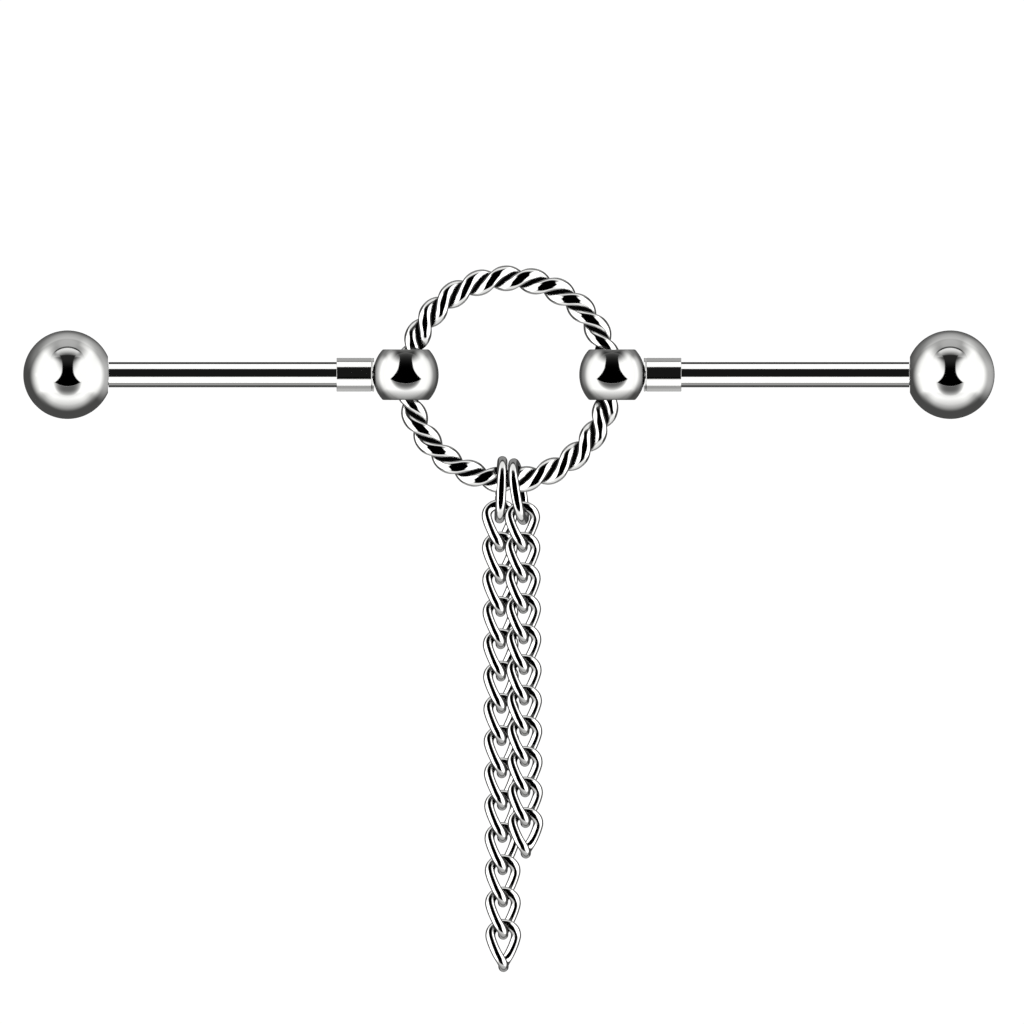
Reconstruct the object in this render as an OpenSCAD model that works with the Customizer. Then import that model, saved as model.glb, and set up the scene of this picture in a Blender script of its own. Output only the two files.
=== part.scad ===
// Two-piece industrial barbell: two straight bars, each with a screw ball on its outer end and a
// collar and a drilled bead on its inner end. The beads are threaded on a ring of two twisted
// wires, and two curb chains of different length hang from the ring on jump rings.
// Millimetres. +X runs along the bars to the right, -Y faces the viewer, +Z is up.
// The origin is the middle of the free stretch of the left bar, where the ear sits.

/* [Bars] */
// Distance between the flats of the two end balls
wear_length = 38; // [32:0.5:44]
// Thickness of both bars
bar_d = 1.2; // [1:0.1:1.6]

/* [End balls] */
// Diameter of an end ball
ball_d = 4.2; // [3.4:0.1:5]
// Width of the flat that is left around the bar on a ball
flat_rim = 0.25; // [0.1:0.05:0.4]
// Step from the bar down to its screw tip
screw_step = 0.1; // [0.05:0.05:0.2]
// Length of the screw tip
screw_length = 2; // [1:0.1:2.4]
// Depth of the screw hole past the tip
screw_spare = 0.3; // [0.1:0.1:0.5]

/* [Collars] */
// Metal of a collar around its bar
collar_wall = 0.2; // [0.15:0.05:0.4]
// Length of a collar
collar_length = 1.78; // [1.4:0.02:2.6]
// Solid metal between a collar's socket and its bead
collar_web = 0.55; // [0.3:0.05:0.9]
// Bevel on the edges of a collar
collar_bevel = 0.05; // [0.02:0.01:0.1]

/* [Beads] */
// Diameter of a bead
bead_d = 3.12; // [2.9:0.02:3.6]
// Height of a bead between its flat ends
bead_height = 2.4; // [2:0.05:2.5]
// Diameter of a bead's flat ends
bead_end_d = 2.18; // [2.1:0.02:2.3]
// How far a bead's centre lies outside the twisted ring's centreline
bead_outset = 0.1; // [0:0.025:0.15]
// Thickness of the tenon that fixes a collar in its bead
tenon_d = 0.8; // [0.5:0.05:1]
// Depth of the cup in a collar's end that the bead sits in
cup_depth = 0.06; // [0.02:0.01:0.1]

/* [Twisted ring] */
// Diameter of the twisted ring along the middle of its wires
ring_d = 9.58; // [8.6:0.02:12]
// Thickness of each of the two wires
strand_d = 0.624; // [0.5:0.004:0.64]
// How deep the two wires are soldered into each other
strand_melt = 0.024; // [0.01:0.002:0.05]
// Half turns that the pair of wires makes on its way round
half_turns = 23; // [17:1:27]
// How far the ring's centre hangs below the bars
ring_drop = 0.22; // [0:0.02:0.26]
// Angle from the ring's lowest point to the nearest groove between the wires
groove_angle = 1.5; // [-4:0.5:4]

/* [Jump rings] */
// Outer diameter of a jump ring
jump_d = 3.2; // [3.1:0.05:4]
// Thickness of a jump ring's wire
jump_wire = 0.48; // [0.4:0.02:0.5]
// Room between the two jump rings where they cross the twisted ring
jump_apart = 0.26; // [0.26:0.02:0.6]
// How far the right jump ring hangs to the right of the groove
groove_side = 0.26; // [0.2:0.01:0.3]
// How much deeper the right jump ring settles into its groove
groove_seat = 0.1; // [0:0.01:0.1]

/* [Chains] */
// Width of a chain link
link_width = 1.84; // [1.74:0.02:1.88]
// Thickness of the wire of a link
link_wire = 0.48; // [0.36:0.02:0.5]
// Twist of a curb link from its middle to either end
link_twist = 48; // [44:1:52]
// Turn of both chains about their own length, which shows the upper end of each link broad
link_turn = 46; // [40:1:48]
// Length that each link adds to the long chain
long_pitch = 1.53; // [1.44:0.01:1.8]
// Length that each link adds to the short chain
short_pitch = 1.45; // [1.42:0.01:1.8]
// Links in the long chain
long_links = 14; // [8:1:18]
// Links in the short chain
short_links = 11; // [6:1:16]
// How deep the two chains reach into each other from front to back
chain_nest = 0.7; // [0.5:0.05:0.8]

/* [Clearances] */
// Gap between fixed pieces that meet
seat_gap = 0.02; // [0.01:0.01:0.04]
// Gap around a screw tip, a tenon and a bar in its socket
fit_gap = 0.03; // [0.01:0.01:0.05]
// Gap between wires that hang in each other
hang_gap = 0.03; // [0.02:0.01:0.05]

/* [Hidden] */
// How each chain hangs: [side of the ring, lean of the jump ring, turn of the jump ring,
// lean of the chain], angles in degrees
LEAN = 1;
TURN = 2;
CHAIN_LEAN = 3;
long_hang = [1, 3, 0, 0.5];
short_hang = [-1, -7, -9, 0.6];
// Roll of the jump rings about the twisted ring, away from each other
jump_roll = 18;

ball_r = ball_d / 2;
bar_r = bar_d / 2;
screw_r = bar_r - screw_step;
flat_r = bar_r + flat_rim;
ball_flat = sqrt(ball_r * ball_r - flat_r * flat_r);
ball_x = wear_length / 2 + ball_flat;

strand_r = strand_d / 2;
strand_a = strand_r - strand_melt / 2;
rope_r = strand_a + strand_r;
ring_r = ring_d / 2;

bead_r = bead_d / 2;
bead_x = ring_r + bead_outset;
// A bead is a ball stretched upright by this much, so that its flat ends are wide
bead_stretch = bead_height / bead_d / sqrt(1 - bead_end_d * bead_end_d / bead_d / bead_d);
// Reach of the twisted wires towards the ring's centre where they leave the top of the bead
bead_top = bead_height / 2 + ring_drop;
wire_in = sqrt((ring_r - rope_r) * (ring_r - rope_r) - bead_top * bead_top);
bore_r = bead_x - wire_in + seat_gap;

collar_r = bar_r + collar_wall;
collar_x = bead_x + bead_r - cup_depth;
collar_end = collar_x + collar_length;
socket_x = collar_x + collar_web;
tenon_r = tenon_d / 2;
tenon_x = bead_x + bore_r + hang_gap;

// Middle of the free stretch of a bar, where the ear sits
ear_x = (collar_end + wear_length / 2) / 2;

jump_r = (jump_d - jump_wire) / 2;
// Distance from the twisted ring's wires down to the centre of a jump ring
jump_hang = jump_r - jump_wire / 2 - rope_r - hang_gap;
groove_x = ring_r * sin(groove_angle);
right_x = groove_x + groove_side;

link_a = (link_width - link_wire) / 2;
// Half the distance between the two chains, from front to back
chain_y = link_a + link_wire / 2 - chain_nest / 2;

// Steps of the meshed wires
ROPE_STEPS = 8;
LOBE_POINTS = 8;
BEND_STEPS = 6;
SIDE_STEPS = 2;
WIRE_SIDES = 6;
ROUND = 96;

function link_name(chain, i) = str(chain, "_chain_link_", i < 10 ? "0" : "", i);

// The pieces are drawn about the middle of the whole barbell and moved to the ear's frame here
module from_ear() {
    translate([ear_x, 0, 0]) children();
}

// One half, drawn along +X for the right side and turned half round for the left
module on_side(side) {
    from_ear() rotate([0, 0, side > 0 ? 0 : 180]) children();
}

module along_x(x, length, r) {
    translate([x, 0, 0]) rotate([0, 90, 0]) cylinder(h = length, r = r, $fn = ROUND);
}

// Ball with a small flat towards the bar and a blind hole for the screw tip
module end_ball(side) {
    color("silver") on_side(side) translate([ball_x, 0, 0]) rotate([0, 90, 0]) difference() {
        sphere(r = ball_r, $fn = ROUND);
        translate([-ball_r, -ball_r, -ball_flat - ball_r]) cube([ball_d, ball_d, ball_r]);
        translate([0, 0, -ball_r])
            cylinder(h = ball_r - ball_flat + screw_length + screw_spare, r = screw_r + fit_gap, $fn = ROUND);
    }
}

// Bar with a plain screw tip outside and its inner end in the collar's socket
module bar(side) {
    inner_end = socket_x + seat_gap;
    shoulder = wear_length / 2 - seat_gap;
    tip_end = wear_length / 2 + screw_length;
    color("silver") on_side(side) rotate([90, 0, 90]) rotate_extrude($fn = ROUND) polygon([
        [0, inner_end],
        [bar_r, inner_end],
        [bar_r, shoulder],
        [screw_r, shoulder],
        [screw_r, tip_end - screw_step],
        [screw_r - screw_step, tip_end],
        [0, tip_end]
    ]);
}

// Outside of a bead without its flat ends, grown by extra
module bead_barrel(extra) {
    translate([bead_x, 0, 0]) scale([1, 1, bead_stretch]) sphere(r = bead_r + extra, $fn = ROUND);
}

// Short tube that holds the bar, with a tenon into the bead and a cup that the bead sits in
module collar(side) {
    color("gainsboro") on_side(side) difference() {
        union() {
            translate([collar_x, 0, 0]) rotate([90, 0, 90]) rotate_extrude($fn = ROUND) polygon([
                [0, 0],
                [collar_r - collar_bevel, 0],
                [collar_r, collar_bevel],
                [collar_r, collar_length - collar_bevel],
                [collar_r - collar_bevel, collar_length],
                [0, collar_length]
            ]);
            along_x(tenon_x, collar_x + collar_web / 2 - tenon_x, tenon_r);
        }
        along_x(socket_x, collar_length, bar_r + fit_gap);
        difference() {
            bead_barrel(seat_gap);
            along_x(0, collar_end, tenon_r);
        }
    }
}

// Round bead with flat ends, drilled upright for the twisted ring and sideways for the tenon
module bead(side) {
    color("silver") on_side(side) difference() {
        intersection() {
            bead_barrel(0);
            translate([bead_x - bead_r, -bead_r, -bead_height / 2]) cube([bead_d, bead_d, bead_height]);
        }
        translate([bead_x, 0, -bead_height]) cylinder(h = 2 * bead_height, r = bore_r, $fn = ROUND);
        along_x(bead_x, bead_d, tenon_r + fit_gap);
    }
}

// Joins a closed row of cross sections to one solid. The last section meets the first one with
// its points moved on by shift.
module closed_sweep(sections, shift = 0) {
    n = len(sections);
    k = len(sections[0]);
    polyhedron(
        points = [for (s = sections) for (p = s) p],
        faces = [for (i = [0:n - 1]) for (j = [0:k - 1])
            let (
                last = i == n - 1,
                next = last ? 0 : i + 1,
                move = last ? shift : 0,
                a = i * k + j,
                b = i * k + (j + 1) % k,
                c = next * k + (j + move) % k,
                d = next * k + (j + 1 + move) % k
            )
            each [[a, b, d], [a, d, c]]
        ]
    );
}

// Outline of the two wires in a cut across the ring. A wire runs askew, so its cut is an ellipse.
lay = atan(strand_a * half_turns / 2 / ring_r);
neck = acos(-strand_a / strand_r);
function pair_outline() = [
    for (side = [1, -1]) for (i = [0:LOBE_POINTS - 1])
    let (t = neck * (2 * i / LOBE_POINTS - 1))
    side * [strand_a + strand_r * cos(t), strand_r / cos(lay) * sin(t)]
];

// Ring of two wires twisted left-handed, soldered into one piece
module twisted_ring() {
    n = half_turns * ROPE_STEPS;
    outline = pair_outline();
    color("lightgray") from_ear() translate([0, 0, -ring_drop]) closed_sweep([
        for (i = [0:n - 1])
        let (
            around = 360 * i / n,
            turn = 180 * half_turns * (around - 180 + groove_angle) / 360 + 90,
            outward = [sin(around), 0, cos(around)],
            back = [0, 1, 0]
        )
        [for (p = outline)
            (ring_r + p[0] * cos(turn) - p[1] * sin(turn)) * outward
            + (p[0] * sin(turn) + p[1] * cos(turn)) * back]
    ], half_turns % 2 == 0 ? 0 : LOBE_POINTS);
}

// Where each jump ring crosses the twisted ring, and how far its centre hangs below the wires
function jump_x(hang) = hang == long_hang ? right_x - jump_wire - jump_apart : right_x;
function jump_down(hang) = jump_hang + (hang == long_hang ? 0 : groove_seat);
// Height of the middle of the twisted ring's wires at x, on its lower half
function rope_z(x) = -ring_drop - sqrt(ring_r * ring_r - x * x);

// Plain round jump ring, hung over the twisted ring
module jump_ring(hang) {
    color("silver") from_ear()
        translate([jump_x(hang), 0, rope_z(jump_x(hang))])
        rotate([hang[0] * jump_roll, 0, 0])
        rotate([0, hang[LEAN], 0])
        translate([0, 0, -jump_down(hang)])
        rotate([0, 0, hang[TURN]])
        rotate([0, 90, 0])
        rotate_extrude($fn = ROUND)
        translate([jump_r, 0])
        circle(d = jump_wire, $fn = ROUND);
}

// Top of a chain: the middle of the wire at the first link's upper end, on its jump ring.
// The jump ring's wire is followed from its lowest point to where it is chain_y from the middle.
function chain_top(hang) =
    let (
        roll = hang[0] * jump_roll,
        lean = hang[LEAN],
        turn = hang[TURN],
        down = jump_down(hang),
        front = jump_r * (cos(turn) * cos(roll) - sin(turn) * sin(lean) * sin(roll)),
        low = jump_r * cos(lean) * sin(roll),
        rest = hang[0] * chain_y - down * cos(lean) * sin(roll),
        along = asin(rest / norm([front, low])) - atan2(low, front),
        x = -jump_r * sin(along) * sin(turn),
        y = jump_r * sin(along) * cos(turn),
        z = -jump_r * cos(along) - down,
        height = (z * cos(lean) - x * sin(lean)) * cos(roll) + y * sin(roll),
        slope = along + roll
    )
    [jump_x(hang) + x * cos(lean) + z * sin(lean), hang[0] * chain_y,
     rope_z(jump_x(hang)) + height + (jump_wire / 2 + link_wire / 2 + 3 * hang_gap) / cos(slope)];

// Points of a flat oval with round ends, each as [x, z, direction outwards in degrees]
function oval(a, straight) = concat(
    [for (i = [0:BEND_STEPS]) let (t = 180 * i / BEND_STEPS) [a * cos(t), straight + a * sin(t), t]],
    [for (i = [1:SIDE_STEPS - 1]) [-a, straight - 2 * straight * i / SIDE_STEPS, 180]],
    [for (i = [0:BEND_STEPS]) let (t = 180 + 180 * i / BEND_STEPS)
        [a * cos(t), -straight + a * sin(t), t]],
    [for (i = [1:SIDE_STEPS - 1]) [a, -straight + 2 * straight * i / SIDE_STEPS, 360]]
);

function unit(v) = v / norm(v);

// Curb link: an oval of round wire, its ends twisted opposite ways about its length
module curb_link(pitch) {
    half = (pitch + link_wire + hang_gap) / 2;
    flat = oval(link_a, half - link_a);
    n = len(flat);
    angle = [for (p = flat) link_turn - link_twist * p[1] / half];
    middle = [for (i = [0:n - 1]) [flat[i][0] * cos(angle[i]), flat[i][0] * sin(angle[i]), flat[i][1]]];
    closed_sweep([
        for (i = [0:n - 1])
        let (
            along = unit(middle[(i + 1) % n] - middle[(i + n - 1) % n]),
            out = [cos(flat[i][2]) * cos(angle[i]), cos(flat[i][2]) * sin(angle[i]), sin(flat[i][2])],
            u = unit(out - (out * along) * along),
            v = cross(u, along)
        )
        [for (j = [0:WIRE_SIDES - 1]) let (t = 360 * j / WIRE_SIDES)
            middle[i] + link_wire / 2 * (cos(t) * u + sin(t) * v)]
    ]);
}

// Link number i of a chain, hanging in its place
module chain_link(hang, pitch, i) {
    half = (pitch + link_wire + hang_gap) / 2;
    color("gainsboro") from_ear()
        translate(chain_top(hang))
        rotate([0, -hang[CHAIN_LEAN], 0])
        translate([0, 0, -half - (i - 1) * pitch])
        curb_link(pitch);
}

end_ball(-1);  // left_ball
end_ball(1);  // right_ball
bar(-1);  // left_bar
bar(1);  // right_bar
collar(-1);  // left_collar
collar(1);  // right_collar
bead(-1);  // left_bead
bead(1);  // right_bead
twisted_ring();
jump_ring(long_hang);  // left_jump_ring
jump_ring(short_hang);  // right_jump_ring
for (i = [1:long_links])
    chain_link(long_hang, long_pitch, i);
for (i = [1:short_links])
    chain_link(short_hang, short_pitch, i);
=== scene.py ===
import math

import bpy
from mathutils import Matrix, Vector


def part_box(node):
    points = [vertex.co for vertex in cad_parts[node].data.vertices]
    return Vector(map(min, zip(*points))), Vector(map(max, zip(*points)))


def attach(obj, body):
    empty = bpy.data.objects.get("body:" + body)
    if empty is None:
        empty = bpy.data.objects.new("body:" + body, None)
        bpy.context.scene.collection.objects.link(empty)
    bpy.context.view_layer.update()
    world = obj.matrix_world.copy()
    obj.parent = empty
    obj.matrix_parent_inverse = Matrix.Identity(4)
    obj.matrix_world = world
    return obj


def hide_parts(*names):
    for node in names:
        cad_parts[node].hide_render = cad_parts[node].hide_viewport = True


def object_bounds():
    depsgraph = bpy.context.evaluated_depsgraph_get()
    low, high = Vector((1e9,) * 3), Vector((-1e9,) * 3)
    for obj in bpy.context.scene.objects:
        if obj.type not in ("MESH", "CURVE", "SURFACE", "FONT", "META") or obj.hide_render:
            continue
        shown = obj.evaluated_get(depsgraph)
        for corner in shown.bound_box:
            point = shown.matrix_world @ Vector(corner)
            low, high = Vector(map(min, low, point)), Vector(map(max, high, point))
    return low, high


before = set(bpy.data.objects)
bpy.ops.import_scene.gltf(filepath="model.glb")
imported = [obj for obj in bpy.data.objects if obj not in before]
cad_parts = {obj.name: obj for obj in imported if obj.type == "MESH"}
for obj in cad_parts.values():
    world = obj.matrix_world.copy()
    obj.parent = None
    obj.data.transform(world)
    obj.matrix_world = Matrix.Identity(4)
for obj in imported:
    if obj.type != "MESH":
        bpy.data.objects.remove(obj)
cad_low, cad_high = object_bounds()

# Twisted ring. Two polished steel wires are twisted left-handed, bent round and soldered end to
# end, so the ring is one piece. The grooves between the wires are painted dark as shade.
MM = 0.001
barbell_middle = Vector(((cad_low.x + cad_high.x) / 2, 0, 0))
ring_r = 4.79 * MM
ring_drop = 0.22 * MM
strand_r = 0.312 * MM
strand_melt = 0.024 * MM
half_turns = 23
groove_angle = 1.5
steps_per_half_turn = 24
points_per_strand = 28


def add_node(tree, kind, settings=None, **inputs):
    """Adds a node. A name's underscores stand for the spaces of its socket's name."""
    made = tree.nodes.new(kind)
    for name, value in (settings or {}).items():
        setattr(made, name, value)
    for name, value in inputs.items():
        words = name.replace("_", " ")
        socket = next(s for s in made.inputs if s.name.replace("_", " ") == words and s.enabled)
        if isinstance(value, bpy.types.NodeSocket):
            tree.links.new(value, socket)
        else:
            socket.default_value = value
    return made


def polished_steel(name, marks, roughness, mark_depth, groove_shade=0.75, painted_shade_range=(0.05, 0.1)):
    """Polished steel. marks is how many polishing marks cross a millimetre along x, y and z.
    Between the two given shares of open sky, the colour turns from black painted shade to bright,
    and hollows get painted shade as deep as groove_shade."""
    bright_steel = (0.905, 0.905, 0.890, 1)
    deep_steel = (0.845, 0.845, 0.832, 1)
    worn_edge = (0.950, 0.950, 0.938, 1)
    painted_shade_steel = tuple(groove_shade * c for c in deep_steel[:3]) + (1,)
    painted_shade_black = (0.003, 0.003, 0.003, 1)
    edge_bend = (0.53, 0.62)
    painted_shade_bend = (0.46, 0.36)
    clouds_per_mm = 0.7
    sky_reach = 0.5 * MM
    mark_height = 0.001 * MM
    steel = bpy.data.materials.new(name)
    steel.use_nodes = True
    tree = steel.node_tree
    shader = tree.nodes["Principled BSDF"]

    place = add_node(tree, "ShaderNodeTexCoord").outputs["Object"]
    along_marks = add_node(tree, "ShaderNodeMapping", Vector=place,
                           Scale=tuple(m / MM for m in marks)).outputs["Vector"]
    polish = add_node(tree, "ShaderNodeTexNoise", Vector=along_marks, Scale=1.0,
                      Detail=5.0, Roughness=0.6).outputs["Fac"]
    cloud = add_node(tree, "ShaderNodeTexNoise", Vector=place, Scale=clouds_per_mm / MM,
                     Detail=3.0).outputs["Fac"]
    mirror = add_node(tree, "ShaderNodeMapRange", Value=polish, From_Min=0.3, From_Max=0.7,
                      To_Min=roughness * 0.7, To_Max=roughness * 1.3).outputs["Result"]
    tree.links.new(mirror, shader.inputs["Roughness"])

    tint = add_node(tree, "ShaderNodeMix", {"data_type": "RGBA"}, Factor=cloud,
                    A=bright_steel, B=deep_steel).outputs[2]
    # Hollows, where pointiness is low, get painted shade: their colour is mixed towards a darker
    # steel, as deep as groove_shade.
    bend = add_node(tree, "ShaderNodeNewGeometry").outputs["Pointiness"]
    on_edge = add_node(tree, "ShaderNodeMapRange", Value=bend, From_Min=edge_bend[0],
                       From_Max=edge_bend[1]).outputs["Result"]
    in_painted_shade = add_node(tree, "ShaderNodeMapRange", Value=bend, From_Min=painted_shade_bend[0],
                         From_Max=painted_shade_bend[1]).outputs["Result"]
    worn = add_node(tree, "ShaderNodeMix", {"data_type": "RGBA"}, Factor=on_edge,
                    A=tint, B=worn_edge).outputs[2]
    shaded = add_node(tree, "ShaderNodeMix", {"data_type": "RGBA"}, Factor=in_painted_shade,
                      A=worn, B=painted_shade_steel).outputs[2]
    # Painted shade: where little open sky reaches the steel, ambient occlusion paints its colour
    # black and takes away its metal and gloss.
    openness = add_node(tree, "ShaderNodeAmbientOcclusion", {"samples": 16},
                        Distance=sky_reach).outputs["AO"]
    open_steel = add_node(tree, "ShaderNodeMapRange", Value=openness, From_Min=painted_shade_range[0],
                          From_Max=painted_shade_range[1]).outputs["Result"]
    shaded = add_node(tree, "ShaderNodeMix", {"data_type": "RGBA"}, Factor=open_steel,
                      A=painted_shade_black, B=shaded).outputs[2]
    tree.links.new(shaded, shader.inputs["Base Color"])
    tree.links.new(open_steel, shader.inputs["Metallic"])
    gloss = add_node(tree, "ShaderNodeMapRange", Value=open_steel, To_Max=0.5).outputs["Result"]
    tree.links.new(gloss, shader.inputs["Specular IOR Level"])

    relief = add_node(tree, "ShaderNodeBump", Height=polish, Strength=mark_depth,
                      Distance=mark_height).outputs["Normal"]
    tree.links.new(relief, shader.inputs["Normal"])
    return steel


def steel_piece(name, points, faces, steel, sharp=35):
    """Makes the object, smooth but for edges sharper than that angle, with its faces outwards."""
    mesh = bpy.data.meshes.new(name)
    mesh.from_pydata([tuple(p) for p in points], [], faces)
    piece = bpy.data.objects.new(name, mesh)
    piece.visible_glossy = False
    bpy.context.scene.collection.objects.link(piece)
    volume = sum(
        Vector(points[f[0]]).dot(Vector(points[f[i]]).cross(Vector(points[f[i + 1]])))
        for f in faces for i in range(1, len(f) - 1)
    )
    if volume < 0:
        mesh.flip_normals()
    mesh.shade_smooth()
    mesh.set_sharp_from_angle(angle=math.radians(sharp))
    mesh.materials.append(steel)
    return piece


def closed_wire(name, sections, steel, shift=0):
    """Skins a closed row of cross sections. The last meets the first moved on by shift points."""
    n, k = len(sections), len(sections[0])
    faces = []
    for i in range(n):
        last = i == n - 1
        following = 0 if last else i + 1
        move = shift if last else 0
        for j in range(k):
            faces.append((
                i * k + j,
                i * k + (j + 1) % k,
                following * k + (j + 1 + move) % k,
                following * k + (j + move) % k,
            ))
    return steel_piece(name, [p for s in sections for p in s], faces, steel)


strand_off = strand_r - strand_melt / 2
lay = math.atan(strand_off * half_turns / 2 / ring_r)
neck = math.acos(-strand_off / strand_r)
pair_outline = []
for side in (1, -1):
    for i in range(points_per_strand):
        t = neck * (2 * i / points_per_strand - 1)
        pair_outline.append((
            side * (strand_off + strand_r * math.cos(t)),
            side * strand_r / math.cos(lay) * math.sin(t),
        ))

ring_sections = []
for i in range(half_turns * steps_per_half_turn):
    around = 360 * i / (half_turns * steps_per_half_turn)
    turn = math.radians(half_turns * (around - 180 + groove_angle) / 2 + 90)
    outward = Vector((math.sin(math.radians(around)), 0, math.cos(math.radians(around))))
    middle = barbell_middle + Vector((0, 0, -ring_drop)) + ring_r * outward
    ring_sections.append([
        middle
        + (a * math.cos(turn) - b * math.sin(turn)) * outward
        + Vector((0, a * math.sin(turn) + b * math.cos(turn), 0))
        for a, b in pair_outline
    ])

# The wire's colour gets deep painted shade in the grooves between its strands and next to other
# pieces.
wire_steel = polished_steel("polished_wire", marks=(3, 3, 3), roughness=0.07, mark_depth=0.25,
                            groove_shade=0.35, painted_shade_range=(0.68, 0.75))
ring = closed_wire("ring_of_twisted_wires", ring_sections, wire_steel,
                   points_per_strand * (half_turns % 2))
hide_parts("twisted_ring")
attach(ring, "ring_and_chains")

# Beads. Each is turned from steel rod with flat ends and softly rounded edges, drilled upright
# for the twisted ring and sideways for the collar's tenon, then tumbled bright.
bead_end_r = 1.09 * MM
bead_edge = 0.12 * MM
bead_gap = 0.02 * MM
bore_bevel = 0.02 * MM
tenon_hole_r = 0.17 * MM


def turned(name, outline, middle, axis, steel, columns=128, closed=False):
    """Turns an outline of (along, radius) about an axis, which is given with its direction.
    A third number is how deep a screw thread cuts into that radius."""
    screw_pitch = 0.25 * MM
    on_axis = 1e-9
    axis = Vector(axis)
    side_way = Vector((0, 0, 1)).cross(axis) if abs(axis.z) < 0.5 else Vector((1, 0, 0))
    up_way = axis.cross(side_way)
    points, rows = [], []
    for along, radius, *thread in outline:
        if radius < on_axis:
            rows.append([len(points)] * columns)
            points.append(middle + along * axis)
            continue
        rows.append(list(range(len(points), len(points) + columns)))
        for j in range(columns):
            angle = 2 * math.pi * j / columns
            r = radius
            if thread:
                phase = (along / screw_pitch - j / columns) % 1
                r -= thread[0] * abs(2 * phase - 1)
            points.append(middle + along * axis
                          + r * (math.cos(angle) * side_way + math.sin(angle) * up_way))
    faces = []
    for i in range(len(rows) if closed else len(rows) - 1):
        here, there = rows[i], rows[(i + 1) % len(rows)]
        for j in range(columns):
            k = (j + 1) % columns
            corners = [here[j], here[k], there[k], there[j]]
            faces.append(tuple(dict.fromkeys(corners)))
    return steel_piece(name, points, faces, steel)


def arc(middle_along, middle_radius, radius, start, end, steps):
    """Points of an arc in an outline. An angle is measured from straight out towards along."""
    return [
        (middle_along + radius * math.sin(t), middle_radius + radius * math.cos(t))
        for t in (math.radians(start + (end - start) * i / steps) for i in range(steps + 1))
    ]


def barrel(radius, reach, flat, edge):
    """Outline of a ball of that reach along its axis, from its widest place to a flat, whose
    edge is softly rounded. Halving finds the angle at which the rounding takes over."""
    halvings = 40
    degrees_per_step = 2
    edge_steps = 8
    low, high = 0, 90
    for _ in range(halvings):
        angle = (low + high) / 2
        t = math.radians(angle)
        lean = math.atan2(math.sin(t) / reach, math.cos(t) / radius)
        if reach * math.sin(t) - edge * math.sin(lean) < flat - edge:
            low = angle
        else:
            high = angle
    edge_out = radius * math.cos(t) - edge * math.cos(lean)
    steps = math.ceil(low / degrees_per_step)
    angles = [math.radians(low * i / steps) for i in range(steps + 1)]
    outline = [(reach * math.sin(a), radius * math.cos(a)) for a in angles]
    return outline + arc(flat - edge, edge_out, edge, math.degrees(lean), 90, edge_steps)[1:]


def combine(piece, other, operation="DIFFERENCE"):
    """Takes the other shape out of a piece, or with UNION adds it, and removes the other."""
    cut = piece.modifiers.new("cut", "BOOLEAN")
    cut.operation = operation
    cut.solver = "EXACT"
    cut.object = other
    evaluated = piece.evaluated_get(bpy.context.evaluated_depsgraph_get())
    left_over = bpy.data.meshes.new_from_object(evaluated)
    piece.modifiers.clear()
    piece.data = left_over
    bpy.data.objects.remove(other)


# Painted shade darkens the bead's colour next to the collars and the ring.
bead_steel = polished_steel("tumbled_bead", marks=(2, 2, 14), roughness=0.05, mark_depth=0.2,
                            painted_shade_range=(0.10, 0.42))
beads = []
for name, body in (("left_bead", "left_half"), ("right_bead", "right_half")):
    low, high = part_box(name)
    outside = 1 if low.x > barbell_middle.x else -1
    # The tenon's hole cuts into the box on the outer side, so the inner side gives the middle.
    bead_r = high.y
    bead_middle = Vector((low.x + bead_r if outside > 0 else high.x - bead_r, 0, 0))
    bead_top = high.z
    bead_reach = bead_top / math.sqrt(1 - (bead_end_r / bead_r) ** 2)
    ring_inside = math.sqrt((ring_r - strand_off - strand_r) ** 2 - (bead_top + ring_drop) ** 2)
    bead_bore_r = abs(bead_middle.x - barbell_middle.x) - ring_inside + bead_gap
    upper = barrel(bead_r, bead_reach, bead_top, bead_edge)
    outline = [(-bead_top + bore_bevel, bead_bore_r), (bead_top - bore_bevel, bead_bore_r)]
    outline += [(bead_top, bead_bore_r + bore_bevel)]
    outline += upper[::-1]
    outline += [(-along, out) for along, out in upper[1:]]
    outline += [(-bead_top, bead_bore_r + bore_bevel)]
    bead = turned(name + "_drilled", outline, bead_middle, (0, 0, 1), bead_steel, closed=True)
    drill_outline = [(0, 0), (0, tenon_hole_r), (2 * bead_r, tenon_hole_r), (2 * bead_r, 0)]
    drill = turned("drill", drill_outline, bead_middle, (outside, 0, 0), bead_steel, columns=48)
    combine(bead, drill)
    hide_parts(name)
    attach(bead, body)
    beads.append(bead)

# Collars. Each is a short tube with a socket for the bar, and a cupped face and a tenon that are
# pressed into the bead. It is turned, with fine marks and a line round it, and filed in front.
collar_web = 0.55 * MM
collar_bevel = 0.015 * MM
collar_line = 0.030 * MM
line_lap = 0.005 * MM
collar_length = 1.78 * MM
collar_socket_r = 0.63 * MM
tenon_r = 0.15 * MM
seat_gap = 0.02 * MM
file_gap = 0.003 * MM
file_short = 0.01 * MM
cup_steps = 6


def ends(low, high):
    """How far a box's inner and outer end are from the middle of the barbell."""
    return sorted((abs(low.x - barbell_middle.x), abs(high.x - barbell_middle.x)))


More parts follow.
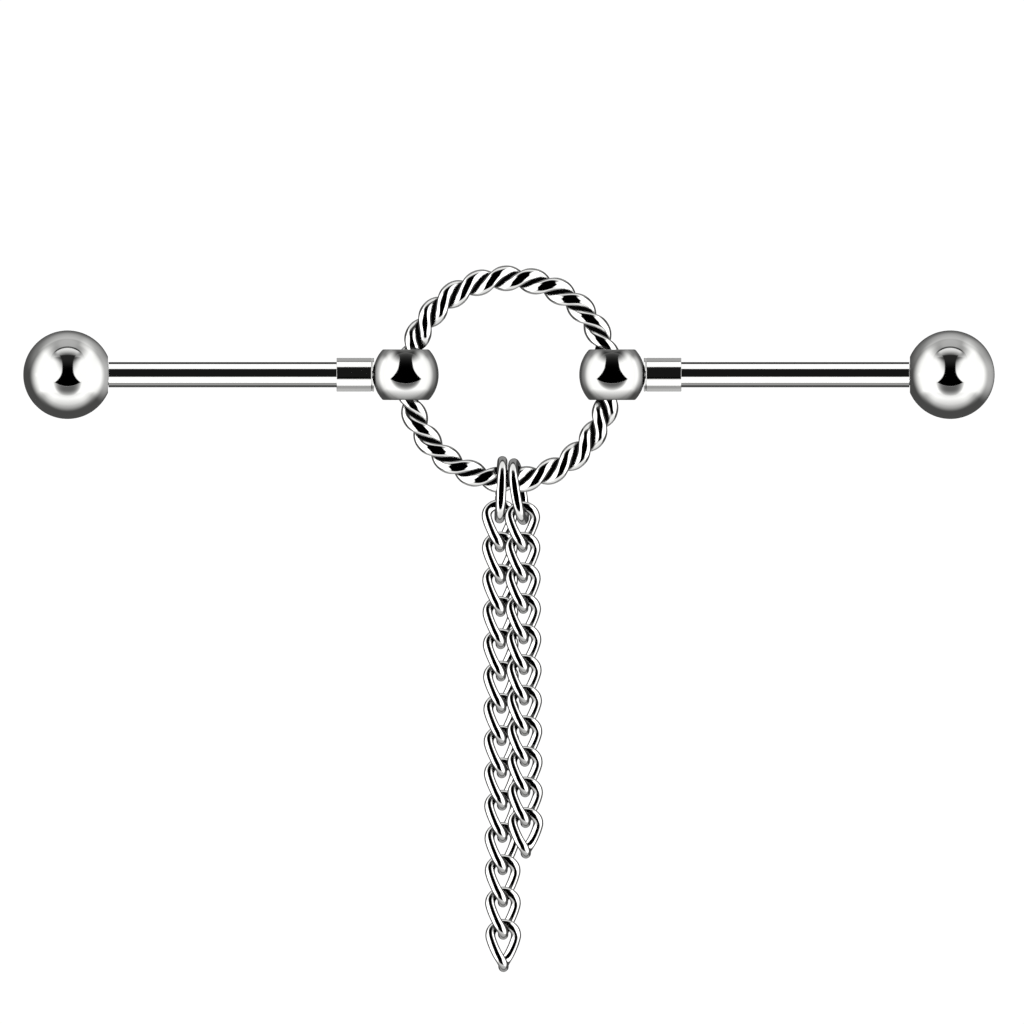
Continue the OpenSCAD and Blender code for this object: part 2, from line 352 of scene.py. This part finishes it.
collar_steel = polished_steel("turned_collar", marks=(24, 2, 2), roughness=0.09, mark_depth=0.5)
collars = []
for name, body in (("left_collar", "left_half"), ("right_collar", "right_half")):
    low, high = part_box(name)
    collar_r = high.z
    outside = 1 if low.x > barbell_middle.x else -1
    tenon_end, bar_end = ends(low, high)
    face = bar_end - collar_length
    bead_low, bead_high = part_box(name.replace("collar", "bead"))
    bead_x = ends(bead_low, bead_high)[0] + bead_high.y
    cup_r = bead_high.y + seat_gap
    cup_rim = math.degrees(math.acos((face - bead_x) / cup_r))
    line_at = bead_x + cup_r
    outline = arc(bead_x, 0, cup_r, 90, 90 - cup_rim, cup_steps)
    outline += [
        (face, collar_r - collar_bevel),
        (face + collar_bevel, collar_r),
        (line_at - line_lap, collar_r),
        (line_at + collar_line, collar_r - collar_line),
        (line_at + 2 * collar_line, collar_r),
        (bar_end - collar_bevel, collar_r),
        (bar_end, collar_r - collar_bevel),
        (bar_end, collar_socket_r),
        (face + collar_web, collar_socket_r),
        (face + collar_web, 0),
    ]
    collar = turned(name + "_tube", outline, barbell_middle, (outside, 0, 0), collar_steel)
    file_r = cup_r + file_gap
    file_outline = [(-2 * collar_r, 0), (-2 * collar_r, file_r), (-file_short, file_r),
                    (-file_short, 0)]
    file = turned("file", file_outline, barbell_middle + Vector((outside * bead_x, 0, 0)),
                  (0, 1, 0), collar_steel)
    combine(collar, file)
    tenon_root = face + collar_web / 2
    tenon_outline = [(tenon_end, 0), (tenon_end, tenon_r), (tenon_root, tenon_r), (tenon_root, 0)]
    tenon = turned("tenon", tenon_outline, barbell_middle, (outside, 0, 0), collar_steel)
    combine(collar, tenon, "UNION")
    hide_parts(name)
    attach(collar, body)
    collars.append(collar)

# Bars. Each is a straight polished rod, pressed into its collar, with a step and an external
# screw thread at the outer end for the ball.
bar_r = 0.6 * MM
bar_bevel = 0.01 * MM
screw_r = 0.5 * MM
screw_length = 2.02 * MM
screw_tip = 0.1 * MM
thread_depth = 0.09 * MM
thread_rows = 110


def threaded(start, end, radius, depth, rows):
    """Outline rows of a threaded stretch. The thread runs in and out over a tenth of it."""
    run_out = 0.1
    made = []
    for i in range(rows + 1):
        share = i / rows
        run = min(1, share / run_out, (1 - share) / run_out)
        made.append((start + (end - start) * share, radius, depth * run))
    return made


bar_steel = polished_steel("drawn_bar", marks=(0.5, 9, 9), roughness=0.05, mark_depth=0.25)
bars = []
for name, body in (("left_bar", "left_half"), ("right_bar", "right_half")):
    low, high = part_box(name)
    outside = 1 if low.x > barbell_middle.x else -1
    inner_end, tip_end = ends(low, high)
    shoulder = tip_end - screw_length
    outline = [
        (inner_end, 0),
        (inner_end, bar_r - bar_bevel),
        (inner_end + bar_bevel, bar_r),
        (shoulder - bar_bevel, bar_r),
        (shoulder, bar_r - bar_bevel),
        (shoulder, screw_r),
    ]
    outline += threaded(shoulder, tip_end - screw_tip, screw_r, thread_depth, thread_rows)[1:]
    outline += [(tip_end, screw_r - screw_tip), (tip_end, 0)]
    bar = turned(name + "_rod", outline, barbell_middle, (outside, 0, 0), bar_steel, columns=96)
    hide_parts(name)
    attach(bar, body)
    bars.append(bar)

# Screw balls. Each is a steel ball with a small flat and a threaded blind hole, polished to a
# mirror, and screwed on the bar's tip.
ball_r = 2.1 * MM
ball_edge = 0.05 * MM
ball_hole_r = 0.53 * MM
ball_hole_depth = 2.3 * MM
hole_bevel = 0.08 * MM
ball_half_steps = 45

ball_steel = polished_steel("mirror_ball", marks=(3, 3, 3), roughness=0.045, mark_depth=0.15)
balls = []
for name, body in (("left_ball", "left_end"), ("right_ball", "right_end")):
    low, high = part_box(name)
    outside = 1 if low.x > barbell_middle.x else -1
    ball_middle = Vector((high.x - ball_r if outside > 0 else low.x + ball_r, 0, 0))
    ball_flat = high.x - low.x - ball_r
    mouth = -ball_flat
    outline = [(mouth + ball_hole_depth, 0), (mouth + ball_hole_depth, ball_hole_r)]
    outline += threaded(mouth + ball_hole_depth, mouth + hole_bevel, ball_hole_r,
                        -thread_depth, thread_rows)[1:]
    outline += [(mouth, ball_hole_r + hole_bevel)]
    outline += [(-along, out) for along, out in barrel(ball_r, ball_r, ball_flat, ball_edge)[::-1]]
    outline += arc(0, 0, ball_r, 0, 90, ball_half_steps)[1:-1]
    outline += [(ball_r, 0)]
    ball = turned(name + "_screwed", outline, ball_middle, (outside, 0, 0), ball_steel)
    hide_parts(name)
    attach(ball, body)
    balls.append(ball)

# Jump rings. Each is a round of plain polished wire, hung over the bottom of the twisted ring and
# closed with a butt joint. The two lean away from each other, one behind and one in front.
jump_r = 1.36 * MM
jump_wire_r = 0.24 * MM
jump_apart = 0.26 * MM
hang_gap = 0.03 * MM
groove_seat = 0.1 * MM
groove_side = 0.26 * MM
jump_roll = 18
jump_steps = 120
jump_wire_points = 32
seam_depth = 0.02 * MM
seam_at = jump_steps // 3

rope_r = strand_off + strand_r
right_jump_x = ring_r * math.sin(math.radians(groove_angle)) + groove_side
left_jump_x = right_jump_x - 2 * jump_wire_r - jump_apart
jump_hang = jump_r - jump_wire_r - rope_r - hang_gap


def rope_height(x):
    """Height of the middle of the twisted wires at x, on the ring's lower half."""
    return -ring_drop - math.sqrt(ring_r ** 2 - x ** 2)


def swing(angle, axis):
    """A turn by that many degrees."""
    return Matrix.Rotation(math.radians(angle), 4, axis)


long_hang = {"side": 1, "x": left_jump_x, "down": jump_hang, "lean": 3, "turn": 0,
             "chain_lean": 0.5}
short_hang = {"side": -1, "x": right_jump_x, "down": jump_hang + groove_seat, "lean": -7,
              "turn": -9, "chain_lean": 0.6}


def jump_place(hang):
    """Where a jump ring hangs, from a ring drawn upright about its own middle."""
    return (
        Matrix.Translation(barbell_middle + Vector((hang["x"], 0, rope_height(hang["x"]))))
        @ swing(hang["side"] * jump_roll, "X")
        @ swing(hang["lean"], "Y")
        @ Matrix.Translation((0, 0, -hang["down"]))
        @ swing(hang["turn"], "Z")
    )


jumps = []
# Painted shade darkens the jump rings' colour where they lie against the twisted ring and the
# links.
jump_steel = polished_steel("jump_wire", marks=(4, 4, 2), roughness=0.06, mark_depth=0.25,
                            painted_shade_range=(0.45, 0.60))
for name, hang in (("left_jump_ring", long_hang), ("right_jump_ring", short_hang)):
    place = jump_place(hang)
    sections = []
    for i in range(jump_steps):
        around = 2 * math.pi * i / jump_steps
        seam = seam_depth if i == seam_at else 0
        out = Vector((0, math.sin(around), math.cos(around)))
        sections.append([
            place @ (jump_r * out + (jump_wire_r - seam)
                     * (math.cos(2 * math.pi * j / jump_wire_points) * out
                        + math.sin(2 * math.pi * j / jump_wire_points) * Vector((1, 0, 0))))
            for j in range(jump_wire_points)
        ])
    jump = closed_wire(name + "_of_wire", sections, jump_steel)
    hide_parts(name)
    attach(jump, "ring_and_chains")
    jumps.append(jump)

# Curb chains. Each link is an oval of round wire whose ends are twisted opposite ways, so that the
# links lie flat against each other. The longer chain hangs behind, the shorter one in front.
link_half_width = 0.68 * MM
link_wire_r = 0.24 * MM
link_twist = 48
link_turn = 46
long_pitch = 1.53 * MM
short_pitch = 1.45 * MM
long_links = 14
short_links = 11
chain_nest = 0.7 * MM
bend_steps = 26
side_steps = 8
link_wire_points = 24

chain_y = link_half_width + link_wire_r - chain_nest / 2


def chain_top(hang):
    """Middle of the wire at the upper end of the first link, where it lies in its jump ring.
    The ring's wire is followed from its lowest point to where it is chain_y from the middle."""
    roll = math.radians(hang["side"] * jump_roll)
    lean = math.radians(hang["lean"])
    turn = math.radians(hang["turn"])
    front = jump_r * (math.cos(turn) * math.cos(roll)
                      - math.sin(turn) * math.sin(lean) * math.sin(roll))
    low = jump_r * math.cos(lean) * math.sin(roll)
    rest = hang["side"] * chain_y - hang["down"] * math.cos(lean) * math.sin(roll)
    along = math.asin(rest / math.hypot(front, low)) - math.atan2(low, front)
    middle = jump_place(hang) @ (jump_r * Vector((0, math.sin(along), -math.cos(along))))
    rise = (jump_wire_r + link_wire_r + 3 * hang_gap) / math.cos(along + roll)
    return Vector((middle.x, hang["side"] * chain_y, middle.z + rise))


def flat_oval(straight):
    """Points of a link before it is twisted, each as x, z and its outward angle."""
    bend = [math.pi * i / bend_steps for i in range(bend_steps + 1)]
    level = [straight * (1 - 2 * i / side_steps) for i in range(1, side_steps)]
    top = [(link_half_width * math.cos(t), straight + link_half_width * math.sin(t), t)
           for t in bend]
    left = [(-link_half_width, z, math.pi) for z in level]
    bottom = [(-x, -z, t + math.pi) for x, z, t in top]
    right = [(link_half_width, -z, 2 * math.pi) for z in level]
    return top + left + bottom + right


def curb_link(name, place, half, steel):
    """One link, twisted about its length, so that its upper end is broad and its lower narrow."""
    oval = flat_oval(half - link_half_width)
    angles = [math.radians(link_turn - link_twist * z / half) for x, z, t in oval]
    middles = [Vector((x * math.cos(a), x * math.sin(a), z)) for (x, z, t), a in zip(oval, angles)]
    sections = []
    for i, (x, z, t) in enumerate(oval):
        run = (middles[(i + 1) % len(oval)] - middles[i - 1]).normalized()
        out = Vector((math.cos(t) * math.cos(angles[i]), math.cos(t) * math.sin(angles[i]),
                      math.sin(t)))
        out = (out - out.dot(run) * run).normalized()
        across = out.cross(run)
        sections.append([
            place @ (middles[i] + link_wire_r
                     * (math.cos(2 * math.pi * j / link_wire_points) * out
                        + math.sin(2 * math.pi * j / link_wire_points) * across))
            for j in range(link_wire_points)
        ])
    return closed_wire(name, sections, steel)


links = []
# Painted shade darkens the links' colour where they lie in each other.
chain_steel = polished_steel("chain_wire", marks=(4, 4, 4), roughness=0.07, mark_depth=0.3,
                             painted_shade_range=(0.48, 0.60))
for chain, hang, pitch, count in (
    ("long", long_hang, long_pitch, long_links),
    ("short", short_hang, short_pitch, short_links),
):
    half = pitch / 2 + link_wire_r + hang_gap / 2
    for i in range(count):
        place = (
            Matrix.Translation(chain_top(hang))
            @ swing(-hang["chain_lean"], "Y")
            @ Matrix.Translation((0, 0, -half - i * pitch))
        )
        node_name = f"{chain}_chain_link_{i + 1:02d}"
        link = curb_link(node_name + "_curb", place, half, chain_steel)
        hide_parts(node_name)
        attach(link, "ring_and_chains")
        links.append(link)

# Floor. A wide matt sheet of pale paper lies below the barbell, out of the first view. Polished
# steel would mirror its far edge, so the floor isn't seen in gloss.
floor_drop = 12 * MM
floor_half = 2.0
floor_grid = 24
fibres_per_metre = 900.0

paper = bpy.data.materials.new("pale_paper")
paper.use_nodes = True
paper_shader = paper.node_tree.nodes["Principled BSDF"]
paper_shader.inputs["Specular IOR Level"].default_value = 0.1
paper_place = add_node(paper.node_tree, "ShaderNodeTexCoord").outputs["Object"]
paper_fibre = add_node(paper.node_tree, "ShaderNodeTexNoise", Vector=paper_place,
                       Scale=fibres_per_metre, Detail=6.0).outputs["Fac"]
paper_tint = add_node(paper.node_tree, "ShaderNodeMix", {"data_type": "RGBA"}, Factor=paper_fibre,
                      A=(0.80, 0.80, 0.79, 1), B=(0.83, 0.83, 0.82, 1)).outputs[2]
paper_rough = add_node(paper.node_tree, "ShaderNodeMapRange", Value=paper_fibre,
                       To_Min=0.8, To_Max=0.95).outputs["Result"]
paper.node_tree.links.new(paper_tint, paper_shader.inputs["Base Color"])
paper.node_tree.links.new(paper_rough, paper_shader.inputs["Roughness"])

floor_points = []
for i in range(floor_grid + 1):
    for j in range(floor_grid + 1):
        floor_points.append(Vector((
            floor_half * (2 * i / floor_grid - 1),
            floor_half * (2 * j / floor_grid - 1),
            cad_low.z - floor_drop,
        )))
floor_faces = []
for i in range(floor_grid):
    for j in range(floor_grid):
        corner = i * (floor_grid + 1) + j
        floor_faces.append((corner, corner + floor_grid + 1, corner + floor_grid + 2, corner + 1))
floor = steel_piece("paper_floor", floor_points, floor_faces, paper)

# Studio. A white tent stands round the barbell, dark above and behind, with a pale table below.
# Gloss sees the tent, the camera sees plain white behind. How far a direction points ahead, up
# and aside is given as a share of its length.
tent_white = 1.15
tent_dim = 0.02
tent_tip = 0.07
table_white = 0.07
camera_white = 1.05
matt_white = 1.2
front_edge = (0.30, 0.36)

world = bpy.data.worlds.new("studio_tent")
bpy.context.scene.world = world
world.use_nodes = True
world.cycles.sampling_method = "NONE"
tent = world.node_tree
tent.nodes.clear()


def calc(operation, a, b=0.0, c=0.0):
    """One step of arithmetic on numbers or sockets."""
    tree = next(v.id_data for v in (a, b, c) if isinstance(v, bpy.types.NodeSocket))
    step = tree.nodes.new("ShaderNodeMath")
    step.operation = operation
    for socket, value in zip(step.inputs, (a, b, c)):
        if isinstance(value, bpy.types.NodeSocket):
            tree.links.new(value, socket)
        else:
            socket.default_value = value
    return step.outputs[0]


def soft_step(value, start, end):
    """From 0 at start to 1 at end, eased."""
    step = value.id_data.nodes.new("ShaderNodeMapRange")
    step.interpolation_type = "SMOOTHSTEP"
    step.inputs["From Min"].default_value = start
    step.inputs["From Max"].default_value = end
    value.id_data.links.new(value, step.inputs["Value"])
    return step.outputs["Result"]


def product(first, *others):
    """All the values multiplied."""
    for other in others:
        first = calc("MULTIPLY", first, other)
    return first


def tent_picture(way_x, ahead, way_z):
    """Light of the tent's wall, which dims to the back and the top, and of the table below,
    which is brightest to the front and the sides."""
    back_gain = 0.05
    table_gain_ahead = 1.1
    table_gain_aside = 0.38
    no_table = 10.0
    not_behind = soft_step(ahead, -0.5, 0.15)
    height = calc("MULTIPLY_ADD", calc("MAXIMUM", ahead, 0.0), 0.2, way_z)
    wall = product(not_behind, soft_step(height, 0.97, 0.65), tent_white)
    behind = calc("MULTIPLY_ADD", soft_step(ahead, 0.1, -0.4), back_gain, tent_dim)
    wall = calc("ADD", wall, behind)
    wall = calc("MULTIPLY_ADD", soft_step(way_z, 0.92, 0.985), tent_tip, wall)

    depth = calc("MAXIMUM", calc("MULTIPLY", way_z, -1.0), 0.001)
    table_ahead = calc("DIVIDE", ahead, depth)
    table_aside = calc("DIVIDE", way_x, depth)
    table = calc("MULTIPLY_ADD", soft_step(table_ahead, -0.5, 0.0), back_gain, table_white)
    table_front = calc("MAXIMUM", table_ahead, 0.0)
    table = calc("MULTIPLY_ADD", table_front, table_gain_ahead, table)
    table = calc("ADD", table, product(table_aside, table_aside, not_behind, table_gain_aside))
    above_table = calc("GREATER_THAN", way_z, 0.0)
    return calc("MINIMUM", wall, calc("MULTIPLY_ADD", above_table, no_table, table))


way = add_node(tent, "ShaderNodeTexCoord").outputs["Generated"]
way_x, way_y, way_z = add_node(tent, "ShaderNodeSeparateXYZ", Vector=way).outputs
ahead = calc("MULTIPLY", way_y, -1.0)

# The front of the tent is left dark here. The panels that follow show it to each kind of piece.
in_front = soft_step(ahead, *front_edge)
light = product(tent_picture(way_x, ahead, way_z), calc("SUBTRACT", 1.0, in_front))

rays = add_node(tent, "ShaderNodeLightPath").outputs
white_behind = add_node(tent, "ShaderNodeBackground", Color=(1, 1, 1, 1), Strength=camera_white)
even_light = add_node(tent, "ShaderNodeBackground", Color=(1, 1, 1, 1), Strength=matt_white)
tent_light = add_node(tent, "ShaderNodeBackground", Color=(1, 1, 0.995, 1), Strength=light)
for_gloss = tent.nodes.new("ShaderNodeMixShader")
tent.links.new(rays["Is Glossy Ray"], for_gloss.inputs[0])
tent.links.new(even_light.outputs[0], for_gloss.inputs[1])
tent.links.new(tent_light.outputs[0], for_gloss.inputs[2])
for_camera = tent.nodes.new("ShaderNodeMixShader")
tent.links.new(rays["Is Camera Ray"], for_camera.inputs[0])
tent.links.new(for_gloss.outputs[0], for_camera.inputs[1])
tent.links.new(white_behind.outputs[0], for_camera.inputs[2])
tent_out = tent.nodes.new("ShaderNodeOutputWorld")
tent.links.new(for_camera.outputs[0], tent_out.inputs["Surface"])
bpy.context.scene.view_settings.view_transform = "Standard"

# Panels. Each is a soft lamp that lights only the pieces it is set up for, as jewellery is lit
# piece by piece. Edges are slopes from the barbell: across and up, or across and forwards.
panel_far = 3.0
panel_step = 0.1
panel_sides = {
    "front": (Vector((0, -1, 0)), Vector((1, 0, 0)), Vector((0, 0, 1))),
    "behind": (Vector((0, 1, 0)), Vector((1, 0, 0)), Vector((0, 0, 1))),
    "above": (Vector((0, 0, 1)), Vector((1, 0, 0)), Vector((0, -1, 0))),
    "below": (Vector((0, 0, -1)), Vector((1, 0, 0)), Vector((0, -1, 0))),
    "left": (Vector((-1, 0, 0)), Vector((0, -1, 0)), Vector((0, 0, 1))),
    "right": (Vector((1, 0, 0)), Vector((0, -1, 0)), Vector((0, 0, 1))),
}
panels = []


def soft_panel(name, where, across, up, level, lit):
    """A panel from slope to slope across and up. Gives its two slopes and its strength."""
    outward, across_way, up_way = panel_sides[where]
    far = panel_far + panel_step * len(panels)
    panels.append(name)
    light = bpy.data.lights.new(name, "AREA")
    light.shape = "RECTANGLE"
    light.size = (across[1] - across[0]) * far
    light.size_y = (up[1] - up[0]) * far
    light.energy = level * light.size * light.size_y * math.pi
    light.use_nodes = True
    panel = bpy.data.objects.new(name, light)
    bpy.context.scene.collection.objects.link(panel)
    side_way = across_way if across_way.cross(up_way).dot(outward) > 0 else -across_way
    turn = Matrix((side_way, up_way, outward)).transposed().to_4x4()
    middle = sum(across) / 2 * across_way + sum(up) / 2 * up_way
    panel.matrix_world = Matrix.Translation(barbell_middle + far * (outward + middle)) @ turn
    panel.visible_camera = False
    lit_pieces = bpy.data.collections.new(name + "_lights")
    for piece in lit:
        lit_pieces.objects.link(piece)
    panel.light_linking.receiver_collection = lit_pieces

    spot = add_node(light.node_tree, "ShaderNodeNewGeometry").outputs["Position"]
    from_barbell = add_node(light.node_tree, "ShaderNodeVectorMath", {"operation": "SUBTRACT"})
    light.node_tree.links.new(spot, from_barbell.inputs[0])
    from_barbell.inputs[1].default_value = barbell_middle
    slopes = []
    for way in (across_way, up_way):
        along = add_node(light.node_tree, "ShaderNodeVectorMath", {"operation": "DOT_PRODUCT"})
        light.node_tree.links.new(from_barbell.outputs[0], along.inputs[0])
        along.inputs[1].default_value = way / far
        slopes.append(along.outputs["Value"])
    return slopes[0], slopes[1], light.node_tree.nodes["Emission"].inputs["Strength"]


def shine(strength, *factors):
    """Makes a panel as bright as its factors multiplied."""
    strength.id_data.links.new(product(*factors), strength)


def share_ahead(across, up):
    """How far a direction with these slopes points ahead."""
    square = calc("ADD", product(across, across), product(up, up))
    return calc("POWER", calc("ADD", square, 1.0), -0.5)


def front_picture(across, up):
    """The tent's front as a front panel shows it."""
    ahead = share_ahead(across, up)
    return product(tent_picture(product(across, ahead), ahead, product(up, ahead)),
                   soft_step(ahead, *front_edge))


def off_card(across, up, waist, waist_up, flare_down, flare_up, foot, foot_rise, top):
    """0 on a card that is narrow at the waist and flares to its foot and its top."""
    flare_power = 2.3
    blur = 0.03
    from_waist = calc("SUBTRACT", up, waist_up)
    flare = calc("MULTIPLY_ADD", calc("LESS_THAN", from_waist, 0.0),
                 flare_down - flare_up, flare_up)
    edge = calc("POWER", calc("ABSOLUTE", from_waist), flare_power)
    edge = calc("MULTIPLY_ADD", edge, flare, waist)
    foot_here = calc("MULTIPLY_ADD", product(across, across), foot_rise, foot)
    return calc("SUBTRACT", 1.0, product(
        soft_step(calc("SUBTRACT", edge, calc("ABSOLUTE", across)), -blur, blur),
        soft_step(calc("SUBTRACT", up, foot_here), -blur, blur),
        soft_step(up, top + 2 * blur, top - 2 * blur)))


def card_shade(across, up, foot, foot_rise, corner, end, clearing):
    """The card's grey shade on the table below its foot, out to its corners. From end down it
    clears."""
    shade_light = 0.11
    end_bend = 0.2
    square = product(across, across)
    past_end = calc("MULTIPLY_ADD", square, end_bend, calc("SUBTRACT", -end, up))
    down = calc("MAXIMUM", past_end, 0.0)
    shade = calc("MULTIPLY_ADD", product(down, down), clearing, shade_light)
    shade = calc("MULTIPLY_ADD", product(square, square), 1 / corner ** 4, shade)
    foot_here = calc("MULTIPLY_ADD", square, foot_rise, foot)
    return calc("MINIMUM", calc("ADD", calc("GREATER_THAN", up, foot_here), shade), 1.0)


# The balls: a narrow card, a ceiling with a dark gap before its header, and a brighter table and
# right side
front = (-3.2, 3.2)
ceiling_bend = -0.45
ball_foot = {"foot": -0.60, "foot_rise": 0.36}
across, up, strength = soft_panel("ball_front", "front", front, front, 1.0, balls)
near_top = soft_step(calc("MULTIPLY_ADD", calc("ABSOLUTE", across), -1.6, up), 0.5, -0.6)
shine(strength, front_picture(across, up),
      card_shade(across, up, corner=0.85, end=0.8, clearing=1.5, **ball_foot),
      calc("MAXIMUM", near_top, soft_step(up, 1.0, 1.4)),
      off_card(across, up, waist=0.26, waist_up=0.25, flare_down=1.15, flare_up=0.25, top=1.38,
               **ball_foot))
across, up, strength = soft_panel("ball_card", "front", (-0.7, 0.7), (0.1, 1.4), 0.02, balls)
shine(strength, soft_step(up, 0.2, 0.9))

across, up, strength = soft_panel("ball_ceiling", "above", (-1.6, 1.6), (-1.7, 0.7), 0.38, balls)
curve = calc("MULTIPLY_ADD", product(across, across), ceiling_bend, up)
reach = calc("SQRT", calc("ADD", product(across, across), product(up, up)))
shine(strength, soft_step(curve, 0.21, 0.16), soft_step(reach, 1.65, 0.05))

across, up, strength = soft_panel("ball_header", "above", (-0.7, 0.7), (0.2, 0.85), 0.85, balls)
curve = calc("MULTIPLY_ADD", product(across, across), ceiling_bend, up)
shine(strength, soft_step(curve, 0.26, 0.30), soft_step(up, 0.80, 0.30),
      soft_step(calc("ABSOLUTE", across), 0.65, 0.4))

across, up, strength = soft_panel("ball_table", "below", (-1.3, 1.3), (-0.5, 0.8), 0.5, balls)
shine(strength, soft_step(up, -0.45, 0.15), soft_step(up, 0.75, 0.4),
      soft_step(calc("ABSOLUTE", across), 1.3, 0.5))

across, up, strength = soft_panel("ball_right", "right", (-4.5, 0.2), (-1.0, 3.0), 0.5, balls)
shine(strength, soft_step(across, 0.15, -0.2), soft_step(across, -4.5, 0.5),
      soft_step(up, -0.9, -0.2),
      calc("MULTIPLY_ADD", soft_step(up, 0.1, 0.6), -0.5, 1.0), soft_step(up, 3.0, 1.5))

# The beads: a wider card, faintly lit upwards
bead_foot = {"foot": -0.52, "foot_rise": 0.06}
across, up, strength = soft_panel("bead_front", "front", front, front, 1.0, beads)
shine(strength, front_picture(across, up),
      card_shade(across, up, corner=1.7, end=0.55, clearing=2.0, **bead_foot),
      off_card(across, up, waist=0.52, waist_up=0.55, flare_down=1.30, flare_up=0.115, top=4.0,
               **bead_foot))
across, up, strength = soft_panel("bead_card", "front", (-1.6, 1.6), (0.1, 3.4), 0.10, beads)
shine(strength, soft_step(up, 0.3, 3.8))

# The wires: a card like an arch from the table to the ceiling, wider for the jump rings
wires = [ring] + jumps + links
card_blur = 0.02
for name, lit, card_edge, closing in (
    ("wire_front", [ring] + links, 0.69, 0.3),
    ("jump_front", jumps, 0.88, 0.16),
):
    across, up, strength = soft_panel(name, "front", front, front, 1.0, lit)
    aside = calc("MULTIPLY_ADD", calc("ABSOLUTE", up), closing, calc("ABSOLUTE", across))
    aside = product(aside, share_ahead(across, up))
    shine(strength, front_picture(across, up),
          soft_step(aside, card_edge - card_blur, card_edge + card_blur))

# The beads' sides: the outer one is the brighter one
left_bead, right_bead = beads
for name, where, level, lit in (
    ("bead_inner_left", "left", 0.25, [right_bead]),
    ("bead_inner_right", "right", 0.25, [left_bead]),
    ("bead_outer_left", "left", 0.55, [left_bead]),
    ("bead_outer_right", "right", 0.55, [right_bead]),
):
    across, up, strength = soft_panel(name, where, (-1.4, 0.1), (-0.8, 0.9), level, lit)
    shine(strength, soft_step(across, 0.1, -0.2), soft_step(across, -1.4, -0.2),
          soft_step(up, -0.8, -0.1), soft_step(up, 0.85, 0.45))

# The bars and the collars: a ceiling, a front strip below the card, the table, and a lit back
# that shows when they are swivelled. The wires: bright sides, a ceiling and a table, dimmer for
# the links. Their edges are plain, and each is soft over its fade.
full = (-1.0, 1.0)
for name, where, across, up, fade, level, lit in (
    ("bar_ceiling", "above", full, (-0.42, 0.73), 0.05, tent_white, bars),
    ("bar_front", "front", full, (-3.20, -0.344), 0.05, tent_white, bars),
    ("bar_table", "below", full, (0.17, 0.85), 0.10, 0.7, bars),
    ("bar_floor", "below", full, (-0.45, 0.12), 0.10, 0.25, bars),
    ("bar_card", "front", full, (-0.344, 1.4), 0.01, 0.009, bars + collars),
    ("bar_back_left", "behind", (-2.5, -0.15), (-0.4, 1.6), 0.20, 0.9, bars),
    ("bar_back_right", "behind", (0.15, 2.5), (-0.4, 1.6), 0.20, 0.9, bars),
    ("collar_back_left", "behind", (-2.5, -0.3), (-0.4, 1.6), 0.30, 0.3, collars),
    ("collar_back_right", "behind", (0.3, 2.5), (-0.4, 1.6), 0.30, 0.3, collars),
    ("collar_ceiling", "above", full, (-0.16, 0.75), 0.10, tent_white, collars),
    ("collar_front", "front", full, (-3.20, -0.50), 0.20, tent_white, collars),
    ("collar_table", "below", full, (0.05, 0.85), 0.15, 0.7, collars),
    ("collar_floor", "below", full, (-3.0, 0.10), 0.10, 0.27, collars),
    ("collar_back", "behind", full, (-3.0, 3.0), 0.50, 0.17, collars),
    ("collar_back_top", "above", full, (-3.0, -0.10), 0.05, 0.15, collars),
    ("wire_left", "left", (-0.3, 1.0), (-1.3, 1.3), 0.15, 1.0, [ring] + links),
    ("wire_right", "right", (-0.3, 1.0), (-1.3, 1.3), 0.15, 1.0, [ring] + links),
    ("jump_left", "left", (-0.3, 0.55), (-1.3, 1.3), 0.15, 1.0, jumps),
    ("jump_right", "right", (-0.3, 0.55), (-1.3, 1.3), 0.15, 1.0, jumps),
    ("wire_above", "above", full, (-0.5, 0.2), 0.10, 0.8, wires),
    ("wire_above_back", "above", full, (-3.0, -0.7), 0.10, 0.2, wires),
    ("wire_below", "below", full, (-0.6, 0.4), 0.20, 0.7, [ring] + jumps),
    ("link_below", "below", full, (-0.6, 0.4), 0.20, 0.35, links),
    ("wire_below_back", "below", full, (-3.0, -0.7), 0.10, 0.25, wires),
    ("bead_ceiling", "above", (-0.6, 0.6), (-0.5, 0.35), 0.30, 0.06, beads),
    ("round_back", "behind", (-2.5, 2.5), (0.0, 3.5), 1.0, 0.15, balls + beads),
):
    aside, rise, strength = soft_panel(name, where, across, up, level, lit)
    shine(strength, soft_step(aside, across[0], across[0] + fade),
          soft_step(aside, across[1], across[1] - fade),
          soft_step(rise, up[0], up[0] + fade), soft_step(rise, up[1], up[1] - fade))

# Camera. It stands level in front, so far off that the barbell is seen without perspective.
photo_pixels = 1024
pixels_per_mm = 21.1
bar_axis_pixel = 374.7
middle_pixel = 508.95
camera_far = 0.3

camera = bpy.data.objects.new("camera", bpy.data.cameras.new("camera"))
bpy.context.scene.collection.objects.link(camera)
camera.data.type = "ORTHO"
camera.data.ortho_scale = photo_pixels / pixels_per_mm * MM
camera.location = barbell_middle + Vector((
    (photo_pixels / 2 - middle_pixel) / pixels_per_mm * MM,
    -camera_far,
    (bar_axis_pixel - photo_pixels / 2) / pixels_per_mm * MM,
))
camera.rotation_euler = (math.pi / 2, 0, 0)
camera.data.clip_start = 0.01
camera.data.clip_end = 10
bpy.context.scene.camera = camera
